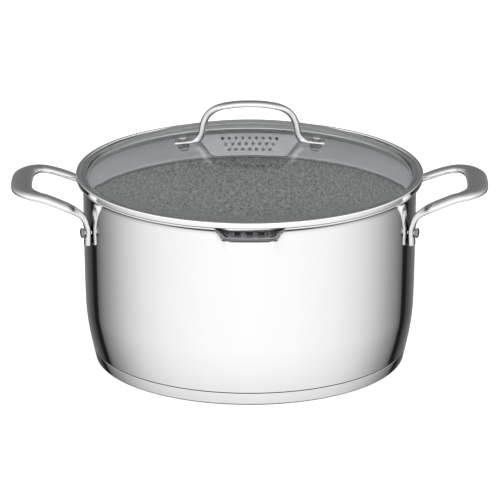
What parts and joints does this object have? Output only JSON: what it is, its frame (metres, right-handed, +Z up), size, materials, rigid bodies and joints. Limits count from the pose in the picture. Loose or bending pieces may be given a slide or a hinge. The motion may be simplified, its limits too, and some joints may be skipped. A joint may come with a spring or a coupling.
{
  "type": "stewing saucepan with straining glass lid",
  "caption": "Deep round steel cooking pot with loop handles and pouring lips, closed by a domed glass lid whose hanging perforated plates strain as it pours.",
  "frame": {"origin": "centre of the underside of the base, on the surface the pot stands on", "axes": "+Z up along the pot's axis, +X through the right-hand loop handle, -Y towards the front pouring lip with the coarse strainer"},
  "size_m": [0.4054, 0.3032, 0.2249],
  "materials": {
    "polished_steel": "mirror-polished stainless steel",
    "satin_steel": "fine satin stainless steel",
    "core_aluminium": "plain rolled aluminium",
    "silicone": "matt black silicone",
    "lid_glass": "clear tempered glass"
  },
  "bodies": {
    "pot": {"pot_shell": "polished_steel", "base_cup": "polished_steel", "base_core": "core_aluminium", "handle_left": "satin_steel", "handle_right": "satin_steel", "rivet_left_front": "polished_steel", "rivet_left_rear": "polished_steel", "rivet_right_front": "polished_steel", "rivet_right_rear": "polished_steel"},
    "lid_seat": {"glass_seal": "silicone"},
    "lid": {"lid_ring": "polished_steel", "lid_glass": "lid_glass", "strainer_coarse": "satin_steel", "strainer_fine": "satin_steel", "lid_handle": "satin_steel", "lid_rivet_left": "polished_steel", "lid_rivet_right": "polished_steel", "gasket_upper_left": "silicone", "gasket_upper_right": "silicone", "gasket_lower_left": "silicone", "gasket_lower_right": "silicone", "washer_left": "polished_steel", "washer_right": "polished_steel"}
  },
  "joints": [
    {"name": "lid_lift", "type": "slide", "parent": "pot", "child": "lid_seat", "axis": [0, 0, 1], "range_m": [0, 0.15]},
    {"name": "lid_turn", "type": "hinge", "parent": "lid_seat", "child": "lid", "pos_m": [0, 0, 0.1592], "axis": [0, 0, 1], "continuous": true}
  ]
}
